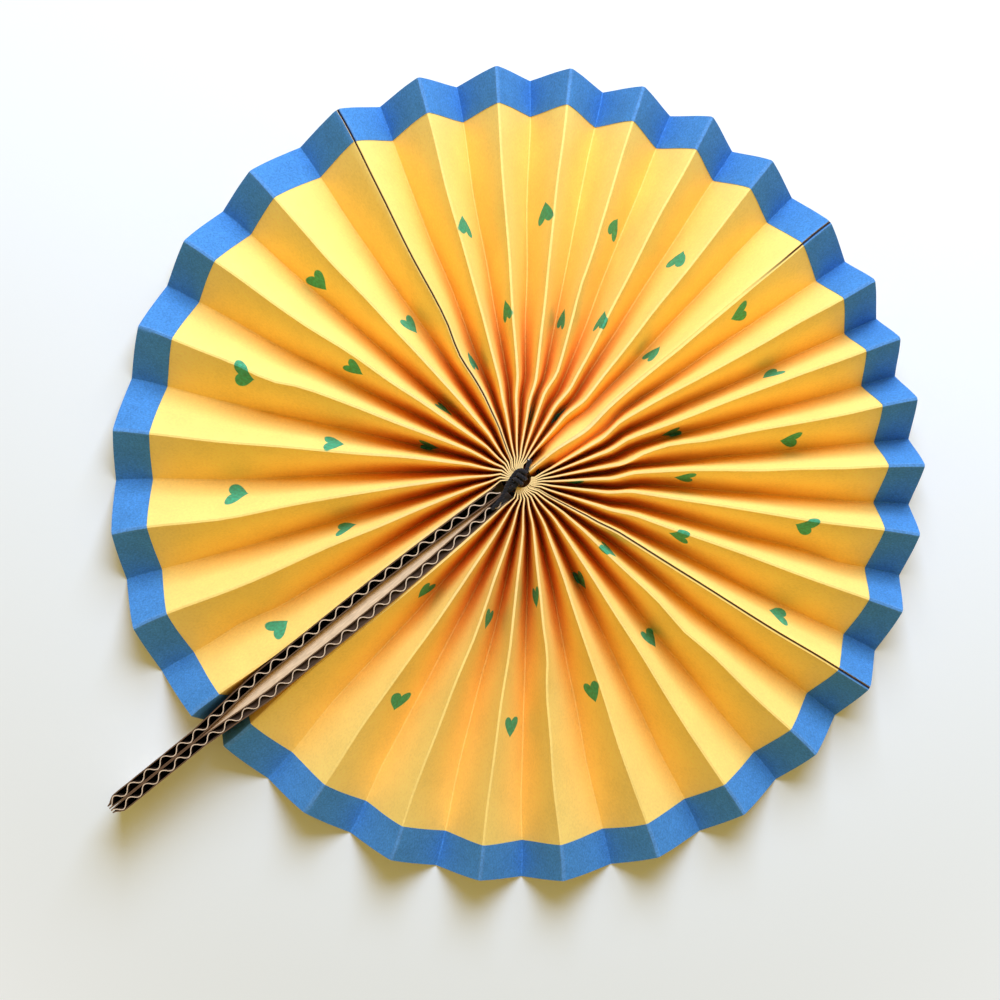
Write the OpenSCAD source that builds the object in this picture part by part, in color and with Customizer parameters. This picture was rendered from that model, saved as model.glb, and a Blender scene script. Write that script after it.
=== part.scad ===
// Pop-up rosette hand fan. Four pleated paper sheets are joined end to end into a full disc,
// tied with a cord at the hub and opened and held by two strips of corrugated board.
// Sizes in millimetres, angles in degrees. The hub is on the Z axis, the fan lies on z = 0
// with its decorated front up, and the handle points along -Y.

/* [Pleats] */
// Radius of the rim: the width of one paper sheet
fan_radius = 105; // [85:1:130]
// Width of one panel from fold to fold
pleat_width = 17.5; // [15:0.5:24]
// Thickness of the coloured paper
paper_thickness = 0.15; // [0.1:0.01:0.2]
// Radius at which the folds have spread from the hub to their rim spacing
gather_radius = 24; // [16:1:40]
// How wide the panels beside the far seam open at the hub, as a multiple of the others
hub_gap_ratio = 5; // [1:0.5:7]

/* [Joins] */
// Width of the end flaps glued to the handle strips
flap_width = 12; // [8:0.5:14]
// Thickness of a glue line
glue_gap = 0.02; // [0.01:0.01:0.04]

/* [Border] */
// Width of the coloured strip along the rim
border_width = 9.4; // [5:0.2:15]
// Thickness of the border paper
border_thickness = 0.13; // [0.08:0.01:0.2]

/* [Handle strips] */
// Thickness of the corrugated board
board_thickness = 2.6; // [2:0.1:3.2]
// Distance between flute crests
flute_pitch = 5.4; // [4.5:0.1:6.5]
// Thickness of the flat liners
liner_thickness = 0.3; // [0.2:0.05:0.4]
// Thickness of the wavy middle sheet
medium_thickness = 0.25; // [0.15:0.05:0.35]
// Length of grip past the rim
grip_length = 30; // [20:1:60]
// Widest space between the two strips, where they bow apart
bow_gap = 3.3; // [1:0.1:5]
// How far each end fold stands off its strip at the rim
flap_lean = 2.9; // [1:0.1:4]

/* [Tie] */
// Thickness of the tie cord
cord_diameter = 1.1; // [0.8:0.1:1.3]

/* [Hidden] */

// Rim angle of each pleat, sheet by sheet, going round from the right handle strip
pleats_1 = [15, 14, 13, 12, 14, 13.5, 13.5, 12];
pleats_2 = [12, 11, 10, 9.5, 9, 9, 10.5];
pleats_3 = [12, 10.5, 10.5, 10.5, 10.5, 11, 12];
pleats_4 = [15, 13.5, 13.5, 15, 14.5, 13.5, 14.5];
// Where the valley lies within a pleat, sheet by sheet
valley_share = [0.51, 0.44, 0.53, 0.49];
sheet_pleats = [pleats_1, pleats_2, pleats_3, pleats_4];

function upto(v, n) = n <= 0 ? 0 : v[n - 1] + upto(v, n - 1);
function smooth(x) = let (c = min(1, max(0, x))) c * c * (3 - 2 * c);
function mix(a, b, f) = a + (b - a) * f;

// Panels in order round the fan, and the first fold of each sheet
panel_angle = [for (k = [0:3]) for (p = sheet_pleats[k])
    each [p * valley_share[k], p * (1 - valley_share[k])]];
panels = len(panel_angle);
first_fold = [for (k = [0:4]) 2 * upto([for (s = sheet_pleats) len(s)], k)];
far_seam = first_fold[2];
function is_seam(j) = j == first_fold[1] || j == first_fold[2] || j == first_fold[3];
hub_weight = [for (j = [0:panels - 1]) j == far_seam - 1 || j == far_seam ? max(2.4, hub_gap_ratio)
    : is_seam(j) || is_seam(j + 1) ? 2.4 : 1];
rim_share = [for (j = [0:panels]) upto(panel_angle, j) / upto(panel_angle, panels)];
hub_share = [for (j = [0:panels]) upto(hub_weight, j) / upto(hub_weight, panels)];

// The pleats pack against each other at the hub, so its radius follows the paper
hub_radius = 0.4 * panels * paper_thickness;
crease = 1.35 * paper_thickness;
lap_drop = paper_thickness + glue_gap;
seam_crease = crease + 2 * lap_drop;
cord_r = hub_radius + 0.75 + cord_diameter / 2;
window_in = cord_r - 0.62 * cord_diameter;
window_out = cord_r + 0.62 * cord_diameter;
window_share = 0.75 * cord_diameter / pleat_width;
strip_end_y = hub_radius + 3;
join_r = strip_end_y + 1.6;
border_r = fan_radius - border_width;
pinch_r = fan_radius + 2;
rings = [hub_radius, window_in, window_out, join_r, 13, 20, 34, 58, border_r, fan_radius];
join_ring = 3;
border_ring = len(rings) - 2;

// Half the space between the strips, by distance from the hub
bow_at = [join_r, 13, 20, 34, 58, border_r, pinch_r];
bow_half = [0.01, 0.25, 0.6, 1.25, bow_gap / 2, 0.12, 0.01];
function half_gap(d) = lookup(d, [for (i = [0:len(bow_at) - 1]) [bow_at[i], bow_half[i]]]);
function strip_face(d) = half_gap(d) + board_thickness;

// How far the end fold stands from the middle plane of the handle
face_stand = paper_thickness / 2 + 0.03;
function lean(r) = flap_lean * smooth((r - 40) / (fan_radius - 40));
function end_x(r) = r >= join_r - 0.01
    ? strip_face(r) + face_stand + lean(r)
    : mix(0.47 * hub_radius, strip_face(join_r) + face_stand,
          min(1, (r - hub_radius) / (window_out - hub_radius)));

// Plan angle of a fold at a distance from the hub
function first_angle(r) = asin(min(0.95, end_x(r) / r)) + crease_at(0, r) / 2 / r * 180 / PI - 90;
function fold_angle(j, r) =
    let (a = first_angle(r),
         f = smooth((r - hub_radius) / (gather_radius - hub_radius)))
    a + (180 - 2 * (a + 90) + 180) * mix(hub_share[j], rim_share[j], f);
function fold_s(j, r) = fold_angle(j, r) * PI / 180 * r;

// Height of a fold: valleys lie on the floor, mountains stand as high as their panels allow
function reach(j, r) = (fold_s(min(j + 1, panels), r) - fold_s(max(j - 1, 0), r))
    / ((j == 0 || j == panels) ? 1 : 2);
function fold_z(j, r) = paper_thickness / 2 + (j % 2 == 1 ? 0
    : sqrt(max(pow(pleat_width, 2) - pow(reach(j, r), 2), pow(pleat_width / 3, 2))));

// A fold is sharp where the pleats pack together and rounder towards the rim
function crease_at(j, r) = (is_seam(j) ? seam_crease : crease)
    + 1.3 * crease * smooth((r - join_r) / (gather_radius - join_r));
function left_point(j, r) = [fold_s(j, r) - crease_at(j, r) / 2, fold_z(j, r)];
function right_point(j, r) = [fold_s(j, r) + crease_at(j, r) / 2, fold_z(j, r)];

// The lap under the next sheet's first panel, one paper thickness lower
function panel_run(j, r) = left_point(j + 1, r) - right_point(j, r);
function lap_start(j, r) = let (d = panel_run(j, border_r))
    right_point(j, r) - [min(2 * lap_drop, lap_drop * norm(d) / max(0.1, -d[1])), 0];
function lap_point(j, r, f) = lap_start(j, r) + f * panel_run(j, r);

// The flap that hangs from an end fold to the face of its strip; side is -1 at the first fold
function flap_tip(j, r, side) =
    let (run = max(0, lean(r) - (r > border_r - 0.01 ? border_thickness + 0.02 : 0)),
         p = side < 0 ? left_point(j, r) : right_point(j, r))
    [p[0] + side * run, max(paper_thickness, p[1] - sqrt(pow(flap_width, 2) - run * run))];

// One sheet's section at a distance from the hub, as points of arc length and height
function panel_points(j, r) = let (a = right_point(j, r), b = left_point(j + 1, r))
    [a, mix(a, b, 0.5 - window_share), mix(a, b, 0.5 + window_share), b];
function section(k, r) = let (j0 = first_fold[k], j1 = first_fold[k + 1])
    concat(k == 0 ? [flap_tip(j0, r, -1), left_point(j0, r)] : [],
           [for (j = [j0:j1 - 1]) each panel_points(j, r)],
           k == 3 ? [right_point(j1, r), flap_tip(j1, r, 1)]
           : r > join_r - 0.01 ? [lap_start(j1, r), lap_point(j1, r, 0.5 - window_share),
                                  lap_point(j1, r, 0.5 + window_share)]
           : [for (f = [0, 1, 2]) lap_start(j1, r) - [0, f]]);

// A section moved sideways by half a thickness, with mitred corners
function unit(v) = v / norm(v);
function left_of(v) = [-v[1], v[0]];
function moved(p, d) = [for (i = [0:len(p) - 1])
    let (a = unit(left_of(p[max(1, i)] - p[max(1, i) - 1])),
         b = unit(left_of(p[min(len(p) - 1, i + 1)] - p[min(len(p) - 1, i + 1) - 1])),
         m = unit(a + b))
    p[i] + m * d / (m * a)];
function bent(p, r) = [for (q = p)
    [r * cos(q[0] / r * 180 / PI), r * sin(q[0] / r * 180 / PI), q[1]]];

// Cells of a sheet: windows for the cord are open, flaps and laps start past the strip ends
function columns(k) = len(section(k, fan_radius));
function is_solid(k, i, c, last) = let (n = columns(k) - 1, q = k == 0 ? c - 2 : c)
    i < 0 || i >= last || c < 0 || c >= n ? false
    : k == 0 && c == 0 ? i >= join_ring
    : k == 3 && c == n - 1 ? i >= join_ring
    : k < 3 && c >= n - 2 ? i >= join_ring && i < border_ring
    : !(i == 1 && q >= 0 && q % 4 == 1 && q < 4 * (first_fold[k + 1] - first_fold[k]));
function is_border(k, i, c, last) = let (n = columns(k) - 1)
    i >= 0 && i < last && c >= 0 && c < n && !(k < 3 && c >= n - 2);

function quad(a, b, c, d) = [[a, b, c], [a, c, d]];
function cell_faces(n, i, c, up, down, out, back) =
    let (t = i * 2 * n + c, u = t + 2 * n)
    concat(quad(t, t + 1, u + 1, u),
           [[t + n, u + 1 + n, t + 1 + n], [t + n, u + n, u + 1 + n]],
           down ? [] : quad(t + 1, t, t + n, t + 1 + n),
           up ? [] : quad(u, u + 1, u + 1 + n, u + n),
           back ? [] : quad(t, u, u + n, t + n),
           out ? [] : quad(u + 1, t + 1, t + 1 + n, u + 1 + n));

module folded(k, radii, low, high, border) {
    n = columns(k);
    last = len(radii) - 1;
    points = [for (r = radii) each concat(bent(moved(section(k, r), high), r),
                                          bent(moved(section(k, r), low), r))];
    solid = [for (i = [-1:last]) [for (c = [-1:n])
        border ? is_border(k, i, c, last) : is_solid(k, i, c, last)]];
    faces = [for (i = [0:last - 1]) for (c = [0:n - 2]) if (solid[i + 1][c + 1])
        each cell_faces(n, i, c, solid[i + 2][c + 1], solid[i][c + 1],
                        solid[i + 1][c + 2], solid[i + 1][c])];
    polyhedron(points, faces, convexity = 20);
}

module pleated_sheet(k) {
    color([0.97, 0.78, 0.28])
    folded(k, rings, -paper_thickness / 2, paper_thickness / 2, false);
}

module border_strip(k) {
    color([0.24, 0.50, 0.77])
    folded(k, [border_r, fan_radius], paper_thickness / 2,
           paper_thickness / 2 + border_thickness, true);
}

// Handle strip: two liners and a wavy middle sheet, seen here from the edge
strip_flutes = round((fan_radius + grip_length - strip_end_y) / flute_pitch);
strip_tip_y = strip_end_y + strip_flutes * flute_pitch;
wave_height = board_thickness / 2 - liner_thickness - medium_thickness / 2;
function strip_point(d, x) = [half_gap(d) + board_thickness / 2 + x, -d];
function flute_edge(u, side) = u < -0.41 || u > 0.41 ? board_thickness / 2 - liner_thickness
    : medium_thickness * 0.62 - wave_height * cos(360 * u);
flute_u = [-0.42, -0.36, -0.27, -0.18, -0.09, 0, 0.09, 0.18, 0.27, 0.36, 0.42];

module flute(d, side) {
    polygon([for (u = flute_u) strip_point(d + u * flute_pitch, side * flute_edge(u))]);
}

module handle_strip() {
    knots = concat([strip_end_y], bow_at, [strip_tip_y]);
    color([0.80, 0.68, 0.50])
    linear_extrude(height = pleat_width)
    difference() {
        polygon(concat([for (d = knots) strip_point(d, board_thickness / 2)],
                       [for (i = [len(knots) - 1:-1:0]) strip_point(knots[i], -board_thickness / 2)]));
        for (i = [0:strip_flutes]) flute(strip_end_y + i * flute_pitch, 1);
        for (i = [0:strip_flutes - 1]) flute(strip_end_y + (i + 0.5) * flute_pitch, -1);
    }
}

module handle_strip_right() {
    handle_strip();
}

module handle_strip_left() {
    mirror([1, 0, 0]) handle_strip();
}

// Tie cord: round through the panel windows, up beside the strip ends and into a knot
cord_z = paper_thickness / 2 + pleat_width / 2;
top_z = pleat_width + paper_thickness + cord_diameter / 2 + 0.05;
leg_x = cord_diameter * 0.56;
leg_y = -hub_radius - 1;
ring_first = first_angle(cord_r) + 2;
ring_steps = 24;
ring_path = [for (i = [0:ring_steps]) let (a = mix(ring_first, 180 - ring_first, i / ring_steps))
    [cord_r * cos(a), cord_r * sin(a), cord_z]];
right_path = [[leg_x, leg_y, cord_z], [leg_x, leg_y, top_z - 3], [leg_x, leg_y + 1.2, top_z - 0.3],
              [0.9, -1.2, top_z + 0.2], [0.2, 0.1, top_z + 0.75], [-1.1, 0.7, top_z + 0.1],
              [-0.6, 1.8, top_z], [-1.2, 3.2, top_z], [-2.1, 4.6, top_z]];
left_path = [[-leg_x, leg_y, cord_z], [-leg_x, leg_y, top_z - 3], [-leg_x, leg_y + 1.2, top_z - 0.4],
             [-1.1, -0.9, top_z - 0.2], [0, 0.5, top_z - 0.5], [1.2, 0.5, top_z + 0.1],
             [0.7, -0.7, top_z + 0.8], [-0.5, -1.2, top_z + 0.9], [-1, -2.6, top_z + 0.4],
             [-0.7, -4.4, top_z]];

module cord_run(path) {
    for (i = [0:len(path) - 2])
        hull() {
            translate(path[i]) sphere(d = cord_diameter, $fn = 8);
            translate(path[i + 1]) sphere(d = cord_diameter, $fn = 8);
        }
}

module tie_cord() {
    color([0.06, 0.06, 0.07])
    union() {
        cord_run(concat([right_path[0]], ring_path, [left_path[0]]));
        cord_run(right_path);
        cord_run(left_path);
    }
}

pleated_sheet(0);  // pleated_sheet_1
pleated_sheet(1);  // pleated_sheet_2
pleated_sheet(2);  // pleated_sheet_3
pleated_sheet(3);  // pleated_sheet_4
border_strip(0);  // border_strip_1
border_strip(1);  // border_strip_2
border_strip(2);  // border_strip_3
border_strip(3);  // border_strip_4
handle_strip_left();
handle_strip_right();
tie_cord();
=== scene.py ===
import math
import random

import bpy
from bpy.props import FloatProperty, FloatVectorProperty, IntProperty, PointerProperty
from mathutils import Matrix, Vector, noise


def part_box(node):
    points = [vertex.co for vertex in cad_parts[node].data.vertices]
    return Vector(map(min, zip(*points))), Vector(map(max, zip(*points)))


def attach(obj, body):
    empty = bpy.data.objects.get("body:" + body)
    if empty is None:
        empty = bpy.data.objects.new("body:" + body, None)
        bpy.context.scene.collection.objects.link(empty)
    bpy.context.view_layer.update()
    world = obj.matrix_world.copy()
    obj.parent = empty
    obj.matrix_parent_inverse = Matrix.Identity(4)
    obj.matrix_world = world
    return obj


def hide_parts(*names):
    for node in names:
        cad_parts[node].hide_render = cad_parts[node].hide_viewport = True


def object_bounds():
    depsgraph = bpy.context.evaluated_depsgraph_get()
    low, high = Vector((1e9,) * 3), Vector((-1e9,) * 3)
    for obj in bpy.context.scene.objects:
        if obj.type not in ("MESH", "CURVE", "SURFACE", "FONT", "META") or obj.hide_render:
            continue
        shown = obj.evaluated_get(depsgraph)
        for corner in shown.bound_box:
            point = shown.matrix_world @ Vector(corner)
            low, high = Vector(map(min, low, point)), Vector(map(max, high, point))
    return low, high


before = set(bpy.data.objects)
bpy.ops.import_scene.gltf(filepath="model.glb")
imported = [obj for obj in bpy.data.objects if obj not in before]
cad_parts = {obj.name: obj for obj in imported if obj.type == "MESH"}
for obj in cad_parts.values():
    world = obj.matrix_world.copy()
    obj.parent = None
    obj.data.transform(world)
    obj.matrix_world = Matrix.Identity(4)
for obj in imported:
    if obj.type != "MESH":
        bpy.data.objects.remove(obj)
CAD_LOW, CAD_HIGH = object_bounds()

bl_info = {
    "name": "Pleated paper hand fan",
    "version": (1, 0, 0),
    "blender": (4, 5, 0),
    "location": "3D View > Sidebar > Paper fan",
    "description": "Folds the paper, corrugates the handle board and ties the cord of a round hand fan",
    "category": "Object",
}

MM = 0.001
BODY = "root"

# Rim angle of each pleat in degrees, sheet by sheet, going round from the right handle strip.
PLEATS = (
    (15, 14, 13, 12, 14, 13.5, 13.5, 12),
    (12, 11, 10, 9.5, 9, 9, 10.5),
    (12, 10.5, 10.5, 10.5, 10.5, 11, 12),
    (15, 13.5, 13.5, 15, 14.5, 13.5, 14.5),
)
# Where the valley lies within a pleat, sheet by sheet.
VALLEY_SHARE = (0.51, 0.44, 0.53, 0.49)
SHEETS = len(PLEATS)
# The seam opposite the handle comes before this sheet.
FAR_SEAM = 2

# Hearts drawn on each sheet: place along the sheet in panels, distance from the hub in mm,
# and lean in degrees. They point at the hub on every second sheet and away from it on the others.
HEARTS = (
    ((2.5, 67.5, 8), (6.5, 66, -4), (9.7, 59.5, 5), (12.7, 55, -8), (11.2, 32, 0),
     (7.7, 32, 6), (4.4, 38.5, -6), (0.6, 39.5, 4), (14.2, 30, 0)),
    ((7.4, 71, -6), (10.6, 71, 10), (13.6, 71, -8), (0.6, 76, 6), (3.8, 74.5, -10),
     (9.2, 41, 6), (5.6, 42, -4), (1.8, 43, 8), (5.7, 13, 0)),
    ((2.5, 71.5, 8), (5.4, 71, -5), (8.3, 70, 6), (11.7, 68, -6), (0.6, 48.5, 0),
     (4.2, 46.5, 8), (6.6, 44, -6), (10.3, 44.5, 4), (13.5, 34, 0), (2.8, 20.5, 4), (7.3, 18, -4)),
    ((2.7, 73.5, -10), (6.15, 75.5, 8), (9.4, 73.5, -6), (13.5, 73.5, 10), (1.4, 49, 6),
     (4.4, 51.5, -8), (7.7, 49, 6), (11.5, 47, -5), (3.4, 26.5, 0), (6.8, 25, 5)),
)
TIP_TURN = (180, 0, 180, 0)

# How far the rim stands outside its circle at every fold, in mm: the sheets were not cut to one length.
RIM_STEPS = (
    -0.5, -0.4, -1.1, -0.2, 0.0, 0.6, 0.1, 1.1, 0.3, 0.6, 0.0, 0.4, 0.0, 0.2, 0.0, 0.0,
    0.4, 0.1, -0.2, -0.7, -0.7, -1.2, -0.5, -0.9, -0.5, -1.4, -0.6, -0.9, -0.2, -0.8,
    -0.8, -0.8, -0.2, -1.0, 0.8, -0.3, 1.2, 0.4, 1.9, 1.2, 1.9, 0.9, 2.2, 1.1,
    2.0, 1.2, 1.8, 1.8, 2.2, 2.5, 2.3, 2.2, 2.2, 3.0, 2.7, 3.5, 3.3, 3.6, 1.1,
)

# Small kinks where a fold was bent: fold, distance from the hub, sideways push and reach, in mm.
KINKS = (
    (30, 21, -1.3, 7), (50, 70, 0.9, 5), (19, 88, -0.8, 6), (44, 36, 0.8, 6), (57, 82, -1.0, 7),
    (8, 47, 0.7, 6), (14, 58, -0.7, 6), (36, 52, 0.6, 7), (24, 40, 0.8, 6),
)

# Glue lines, the air beside a strip, and what counts as the same distance, in mm.
GLUE = 0.02
BORDER_GLUE = 0.004
AIR = 0.03
SAME = 0.01

# How tightly the paper packs at the hub: hub radius for each panel and width of a pressed fold in
# paper thicknesses, how much wider a fold gets where the pleats open, room of a panel beside a seam
# against the others, and how far in the paper and the end folds reach as a share of the hub radius.
HUB_PACKING = 0.4
FOLD_WIDTH = 1.35
FOLD_OPENING = 1.3
SEAM_ROOM = 2.4
PAPER_REACH = 0.72
END_REACH = 0.47
# Largest sine of the angle that the end folds make with the handle.
WIDEST_END = 0.95

# From the hub outwards in mm: paper inside the cord hole, start of the strips, start of the flaps.
# Half a cord hole is in cord thicknesses.
HOLE_STAND = 0.75
HOLE_ROOM = 0.62
STRIP_STAND = 3
FLAP_STAND = 1.6

# Where a fold stops running straight from the hub, as shares of the gather radius: beside the handle,
# opposite it on the right and on the left, and how uneven that is from fold to fold. There a fold
# opposite the handle has made most of its turn, and it makes the rest over the length of a bend in mm.
GATHER_BESIDE = 0.55
GATHER_RIGHT = 0.95
GATHER_LEFT = 0.76
GATHER_UNEVEN = 0.16
TURN_AT_GATHER = 0.88
BEND = 9
# A fold begins to count as opposite the handle at the first share of the way round to the far seam,
# and does so fully after the second.
OPPOSITE_FROM = (0.35, 0.4)

# In panel widths: how far the valleys beside the far seam stand up near the hub, and the least height
# of a ridge.
FAR_RISE = 0.68
LEAST_RISE = 1 / 3
# Sideways wander of a fold, sway of its height, and lift of a glued edge, in mm.
WANDER = 0.45
SWAY = 0.3
LIFT = 0.3
# Bulge of a panel, in curls: range of its random part, and the part that changes along the panel.
BULGES = (-0.6, 1.0)
BULGE_CHANGE = 0.8
# Length in mm over which wander, sway and bulge change.
WANDER_RUN = 17
SWAY_RUN = 23
BULGE_RUN = 26
# Where each of these sets in, in mm from the hub, and the length over which it does.
FAR_RISE_FROM = (6.5, 4)
FAR_RISE_ENDS = (16, 24)
WANDER_FROM = (12, 22)
SWAY_FROM = (15, 30)
LIFT_FROM = (14, 20)
CURL_FROM = (14, 30)
RIM_STEPS_FROM = (60, 45)

# The painted shadow line of a glued edge: half its width in panels, and where it begins and is full, in mm
# from the hub, on a seam beside the handle and on the far seam.
SEAM_HALF = 0.004
SEAM_FROM = (4.0, 9.0)
FAR_SEAM_FROM = (74.0, 92.0)

# Space between the handle strips: distance from the hub in mm, and share of the widest space. It is
# shut where the flaps start and again a little past the rim.
BOW_SHAPE = ((13, 0.2), (20, 0.4), (30, 0.64), (45, 0.88), (60, 0.94),
             (85, 0.88), (92, 0.68), (97, 0.42), (101, 0.26))
BOW_SHUT = 0.006
PINCH = 2
# The end folds lean off the strips from this distance in mm on, slowly at first.
LEAN_FROM = 40
LEAN_POWER = 6

# Places across a panel where a sheet has a line of points; the middle two frame the cord hole.
PANEL_STOPS = (0.05, 0.16, 0.3, 0.4529, 0.5471, 0.7, 0.84, 0.95)
HOLE_STOP = 3
# Half the width of a fold on the flat sheet, in panels.
FLAT_FOLD = 0.012
# Distances from the hub, in mm, where it has a row of points: close together where the folds bend.
RINGS = (10, 12, 14, 16, 18, 19.5, 21, 22.5, 24, 25.5, 27, 29, 32, 35, 39, 43.5, 48, 53, 58, 63, 68,
         73, 78, 83, 87.5, 91.5)
BORDER_RINGS = (99, 102)

# Rows of points up a handle strip, as shares of its width: close where the right strip leans.
STRIP_ROWS = (0.0, 0.02, 0.2, 0.4, 0.6, 0.75, 0.82, 0.86, 0.89, 0.92, 0.95, 0.985, 1.0)
LEAN_ROW = 0.85
LEAN_OVER = 0.14
# Points along a flute, in the wave and in a liner, least share of its height, slip of its crest in
# radians, its shape, where 1 is a sine wave and less has straighter flanks, and the start of its draws.
WAVE_STEPS = 20
LINER_STEPS = 6
LEAST_FLUTE = 0.88
FLUTE_SLIP = 0.125
CREST_POWER = 0.85
STRIP_SEED = 11
# Washboard of a liner, fray of a cut edge and length of the crushed end, in mm; then how much it is
# crushed, and towards which side of the board in thicknesses.
WASHBOARD = 0.03
FRAY = 0.12
CUT_END = 3
CUT_CRUSH = 0.7
CUT_SIDE = -0.35

# The knot: turns, radius in mm and points of its coil. Strands of the cord: how many, their distance
# from its middle and radius in cord thicknesses, and how far and over how many points they spring
# open at the cut end. Points between two of its route. The pale core shows within a distance of the
# cut end, in cord thicknesses, on faces that look out of it.
KNOT_TURNS = 2.5
KNOT_RADIUS = 1.12
COIL_STEPS = 24
STRANDS = 3
STRAND_OFF = 0.235
STRAND_RADIUS = 0.275
SPRING = 0.9
SPRING_POINTS = 6
ROUTE_STEPS = 8
CORE_REACH = 0.45
CORE_FACING = 0.6

# Floor size, and where it runs out into white, in metres from the hub.
FLOOR_SIZE = 6
FADE_START = 0.13
FADE_END = 0.32
# A dim warm room, and a cool window at a distance in metres, with its way and rise in degrees.
ROOM_TINT = (1.0, 0.72, 0.23)
ROOM_STRENGTH = 0.5
WINDOW_TINT = (0.86, 0.98, 1.36)
WINDOW_WATTS = 6.6
WINDOW_SIZE = 0.5
WINDOW_DISTANCE = 0.75
WINDOW_WAY = 129
WINDOW_RISE = 44.5
# Where the camera looks straight down, in mm from the hub, and the width of its sensor.
CAMERA_X = 0.98
CAMERA_Y = -7.86
SENSOR = 36

# Edges sharper than this many degrees stay sharp, and a mitred corner gets no longer than this allows.
SHARP_EDGE = 40
MITRE = 0.35
SMOOTHED = {"interpolation_type": "SMOOTHSTEP"}


def hex_rgb(text):
    """Turns an sRGB hex colour into the linear values that shaders use."""
    channels = [int(text[i:i + 2], 16) / 255 for i in (1, 3, 5)]
    return [c / 12.92 if c <= 0.04045 else ((c + 0.055) / 1.055) ** 2.4 for c in channels]


def smooth(x):
    c = min(1.0, max(0.0, x))
    return c * c * (3 - 2 * c)


def grow(x, start, over):
    """0 up to start, and from there smoothly up to 1."""
    return smooth((x - start) / over)


def mix(a, b, f):
    return a + (b - a) * f


def waver(x, y, z):
    """Smooth unevenness between about -1 and 1, the same on every run. It follows the place that is
    given first; the other two numbers only give each use a pattern of its own."""
    return noise.noise(Vector((x, y, z)))


def length(name, text, millimetres):
    return FloatProperty(name=name, description=text, default=millimetres * MM,
                         min=0.0, precision=5, subtype="DISTANCE", unit="LENGTH")


def colour(name, text, hex_value):
    return FloatVectorProperty(name=name, description=text, default=hex_rgb(hex_value),
                               min=0.0, max=1.0, size=3, subtype="COLOR")


class PaperFanPleats(bpy.types.PropertyGroup):
    """Paper sizes and colours"""
    fan_radius: length("Rim radius", "Distance from the hub to the rim", CAD_HIGH.y / MM)
    pleat_width: length("Panel width", "Width of one panel from fold to fold", 17.5)
    paper_thickness: length("Paper thickness", "Thickness of the yellow paper", 0.15)
    gather_radius: length("Gather radius", "Where folds reach their rim spacing", 24)
    border_width: length("Border width", "Width of the blue strip on the rim", 9.4)
    border_thickness: length("Border thickness", "Thickness of the blue paper", 0.13)
    panel_curl: length("Panel curl", "How far a panel bows between its folds", 0.1)
    heart_width: length("Heart width", "Width of a drawn heart on the flat paper", 10.2)
    heart_height: length("Heart height", "Height of a drawn heart on the flat paper", 5.5)
    hub_gap: FloatProperty(name="Hub gap", default=10.0, min=1.0,
                           description="Room of the panels at the far seam against the others, at the hub")
    seed: IntProperty(name="Seed", default=7, description="Start of the random bulges of the panels")
    paper: colour("Paper", "Dyed yellow paper", "#FFE27E")
    # Painted shade: deep orange low in the pleats and towards the hub.
    paper_painted_shade: colour("Paper, deep", "Yellow paper low in the pleats", "#F79A00")
    # Painted shade at the bottom of a valley fold, near the hub.
    crease: colour("Crease", "Bottom of a deep valley fold", "#A85000")
    # Painted highlight along the ridges, brightest near the hub.
    paper_ridge_highlight: colour("Paper, worn", "Yellow paper rubbed pale along a ridge", "#FFDF9C")
    border: colour("Border", "Dyed blue paper", "#468ACA")
    # Painted highlight along the ridges of the border.
    border_ridge_highlight: colour("Border, worn", "Blue paper rubbed pale along a ridge", "#9CC2EA")
    # Painted shadow along a glued seam of the yellow sheets.
    seam_shadow: colour("Glue line", "Raw edge and dried glue along a seam", "#3C1A04")
    slit: colour("Rim slit", "Shaded slit between two border strips", "#0C1A30")
    ink: colour("Ink", "Green felt pen", "#14A67E")


class PaperFanHandle(bpy.types.PropertyGroup):
    """Corrugated board sizes and colours"""
    board_thickness: length("Board thickness", "Both liners and the wave between", 2.6)
    flute_pitch: length("Flute pitch", "Distance between wave crests", 5.4)
    liner: length("Liner", "Thickness of a flat liner", 0.3)
    medium: length("Wave sheet", "Thickness of the wavy middle sheet", 0.25)
    bow_gap: length("Bow gap", "Widest space between the strips", 3.3)
    flap_lean: length("Flap lean", "How far an end fold stands off its strip at the rim", 2.9)
    flap_width: length("Flap width", "Width of the glued end flap", 12)
    kraft: colour("Kraft", "Brown kraft liner", "#DDC6A0")
    # Painted shade: the kraft inside the flutes and on the wave sheet is painted dark.
    flute_painted_shade: colour("Flute side", "Kraft inside the flutes", "#4A3828")
    liner_cut: colour("Liner edge", "Cut edge of a liner", "#6A523C")
    wave_cut: colour("Wave edge", "Cut edge of the wave sheet", "#D8C4A8")


class PaperFanCord(bpy.types.PropertyGroup):
    """Tie cord size and colour"""
    diameter: length("Cord thickness", "Thickness of the laid cord", 1.1)
    lay: length("Lay", "Distance in which a strand goes once round", 2.6)
    dye: colour("Cord", "Black cotton", "#17171A")
    core: colour("Core", "Undyed core at a cut end", "#D9D4C6")


class PaperFanStage(bpy.types.PropertyGroup):
    """Floor, light and camera"""
    floor: colour("Floor", "Plain pale floor", "#E9F3F3")
    camera_height: length("Camera height", "Camera above the floor", 494)
    lens: FloatProperty(name="Lens", default=66.6, description="Focal length in millimetres")
    roll: FloatProperty(name="Roll", default=math.radians(51.1), subtype="ANGLE",
                        description="Turn of the camera about its line of sight")


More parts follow.
